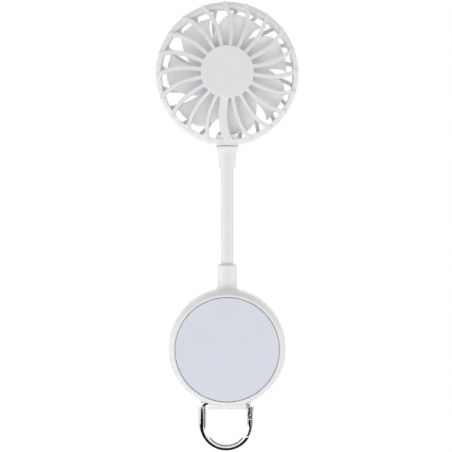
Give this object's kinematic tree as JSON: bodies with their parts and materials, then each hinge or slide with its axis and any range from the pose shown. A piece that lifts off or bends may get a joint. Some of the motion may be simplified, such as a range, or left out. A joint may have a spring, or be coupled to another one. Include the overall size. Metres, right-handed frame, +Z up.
{
  "type": "magnetic portable fan",
  "caption": "Round magnetic base with a spring-gate clip, a bendable neck and a small caged fan head.",
  "frame": {"origin": "centre of the magnet plate's outer face", "axes": "-Y out of the magnet plate (the fan's air inlet side), +Y the air outlet side, +Z up the neck"},
  "size_m": [0.0726, 0.0194, 0.2293],
  "materials": {
    "white_plastic": "fine satin moulding, off-white",
    "guard_plastic": "fine satin moulding, off-white",
    "blade_plastic": "light grey translucent moulding",
    "plate_gloss": "polished pale blue-grey acrylic, bare",
    "neck_silicone": "smooth matte silicone",
    "chrome": "polished chrome plate on zinc alloy",
    "magnet": "nickel-plated sintered magnet",
    "steel": "plain plated steel",
    "battery": "aluminium laminate pouch",
    "board": "glass-fibre board with solder mask",
    "clear_plastic": "clear moulded light pipe",
    "dark_plastic": "black moulding",
    "bronze": "sintered bronze",
    "winding": "laminations and enamelled copper",
    "cable": "white sheathed two-core lead"
  },
  "bodies": {
    "base": {"rear_housing": "white_plastic", "front_housing": "white_plastic", "magnet_plate": "plate_gloss", "magnet_ring": "magnet", "magnet_shield": "steel", "housing_screw_1": "steel", "housing_screw_2": "steel", "housing_screw_3": "steel", "housing_screw_4": "steel", "battery_cell": "battery", "circuit_board": "board", "board_screw_1": "steel", "board_screw_2": "steel", "usb_c_socket": "steel", "push_switch": "steel", "indicator_led": "clear_plastic", "led_light_pipe": "clear_plastic", "neck_lower_ferrule": "steel", "neck_sleeve": "neck_silicone", "motor_cable": "cable"},
    "button": {"power_button": "white_plastic", "switch_plunger": "dark_plastic"},
    "neck_01": {"neck_link_01": "steel"},
    "neck_02": {"neck_link_02": "steel"},
    "neck_03": {"neck_link_03": "steel"},
    "neck_04": {"neck_link_04": "steel"},
    "neck_05": {"neck_link_05": "steel"},
    "neck_06": {"neck_link_06": "steel"},
    "neck_07": {"neck_link_07": "steel"},
    "neck_08": {"neck_link_08": "steel"},
    "neck_09": {"neck_link_09": "steel"},
    "neck_10": {"neck_link_10": "steel"},
    "neck_11": {"neck_link_11": "steel"},
    "neck_12": {"neck_link_12": "steel"},
    "neck_13": {"neck_link_13": "steel"},
    "head": {"neck_upper_ferrule": "steel", "head_collar": "white_plastic", "rear_guard": "guard_plastic", "front_guard": "guard_plastic", "motor_can": "steel", "motor_end_cap": "dark_plastic", "motor_bush": "bronze", "motor_field_magnet": "magnet"},
    "rotor": {"impeller": "blade_plastic", "motor_shaft": "steel", "motor_armature": "winding"},
    "clip": {"carabiner_hook": "chrome", "gate_pin": "chrome", "gate_spring": "steel"},
    "gate": {"carabiner_gate": "chrome"}
  },
  "joints": [
    {"name": "neck_pitch_1", "type": "hinge", "parent": "base", "child": "neck_01", "pos_m": [0, 0.01, 0.04427], "axis": [1, 0, 0], "range_deg": [-12.86, 12.86], "deforming": ["neck_sleeve", "motor_cable"]},
    {"name": "neck_side_1", "type": "hinge", "parent": "neck_01", "child": "neck_02", "pos_m": [0, 0.01, 0.04781], "axis": [0, 1, 0], "range_deg": [-12.86, 12.86], "deforming": ["neck_sleeve", "motor_cable"]},
    {"name": "neck_pitch_2", "type": "hinge", "parent": "neck_02", "child": "neck_03", "pos_m": [0, 0.01, 0.05135], "axis": [1, 0, 0], "range_deg": [-12.86, 12.86], "deforming": ["neck_sleeve", "motor_cable"]},
    {"name": "neck_side_2", "type": "hinge", "parent": "neck_03", "child": "neck_04", "pos_m": [0, 0.01, 0.05489], "axis": [0, 1, 0], "range_deg": [-12.86, 12.86], "deforming": ["neck_sleeve", "motor_cable"]},
    {"name": "neck_pitch_3", "type": "hinge", "parent": "neck_04", "child": "neck_05", "pos_m": [0, 0.01, 0.05843], "axis": [1, 0, 0], "range_deg": [-12.86, 12.86], "deforming": ["neck_sleeve", "motor_cable"]},
    {"name": "neck_side_3", "type": "hinge", "parent": "neck_05", "child": "neck_06", "pos_m": [0, 0.01, 0.06197], "axis": [0, 1, 0], "range_deg": [-12.86, 12.86], "deforming": ["neck_sleeve", "motor_cable"]},
    {"name": "neck_pitch_4", "type": "hinge", "parent": "neck_06", "child": "neck_07", "pos_m": [0, 0.01, 0.06551], "axis": [1, 0, 0], "range_deg": [-12.86, 12.86], "deforming": ["neck_sleeve", "motor_cable"]},
    {"name": "neck_side_4", "type": "hinge", "parent": "neck_07", "child": "neck_08", "pos_m": [0, 0.01, 0.06904], "axis": [0, 1, 0], "range_deg": [-12.86, 12.86], "deforming": ["neck_sleeve", "motor_cable"]},
    {"name": "neck_pitch_5", "type": "hinge", "parent": "neck_08", "child": "neck_09", "pos_m": [0, 0.01, 0.07258], "axis": [1, 0, 0], "range_deg": [-12.86, 12.86], "deforming": ["neck_sleeve", "motor_cable"]},
    {"name": "neck_side_5", "type": "hinge", "parent": "neck_09", "child": "neck_10", "pos_m": [0, 0.01, 0.07612], "axis": [0, 1, 0], "range_deg": [-12.86, 12.86], "deforming": ["neck_sleeve", "motor_cable"]},
    {"name": "neck_pitch_6", "type": "hinge", "parent": "neck_10", "child": "neck_11", "pos_m": [0, 0.01, 0.07966], "axis": [1, 0, 0], "range_deg": [-12.86, 12.86], "deforming": ["neck_sleeve", "motor_cable"]},
    {"name": "neck_side_6", "type": "hinge", "parent": "neck_11", "child": "neck_12", "pos_m": [0, 0.01, 0.0832], "axis": [0, 1, 0], "range_deg": [-12.86, 12.86], "deforming": ["neck_sleeve", "motor_cable"]},
    {"name": "neck_pitch_7", "type": "hinge", "parent": "neck_12", "child": "neck_13", "pos_m": [0, 0.01, 0.08674], "axis": [1, 0, 0], "range_deg": [-12.86, 12.86], "deforming": ["neck_sleeve", "motor_cable"]},
    {"name": "neck_side_7", "type": "hinge", "parent": "neck_13", "child": "head", "pos_m": [0, 0.01, 0.09028], "axis": [0, 1, 0], "range_deg": [-12.86, 12.86], "deforming": ["neck_sleeve", "motor_cable"]},
    {"name": "impeller_spin", "type": "hinge", "parent": "head", "child": "rotor", "pos_m": [0, 0.01, 0.1396], "axis": [0, -1, 0], "continuous": true},
    {"name": "button_press", "type": "slide", "parent": "base", "child": "button", "axis": [0, -1, 0], "range_m": [0, 0.0005], "stiffness_N_per_m": 400, "springref_m": -0.001},
    {"name": "clip_swing", "type": "hinge", "parent": "base", "child": "clip", "pos_m": [-0.0005, 0.01, -0.0282], "axis": [1, 0, 0], "range_deg": [-75, 75]},
    {"name": "gate_open", "type": "hinge", "parent": "clip", "child": "gate", "pos_m": [0.0117, 0.01, -0.0349], "axis": [0, 1, 0], "range_deg": [0, 40], "stiffness_Nm_per_rad": 0.002, "springref_deg": -20.05, "deforming": ["gate_spring"]}
  ]
}
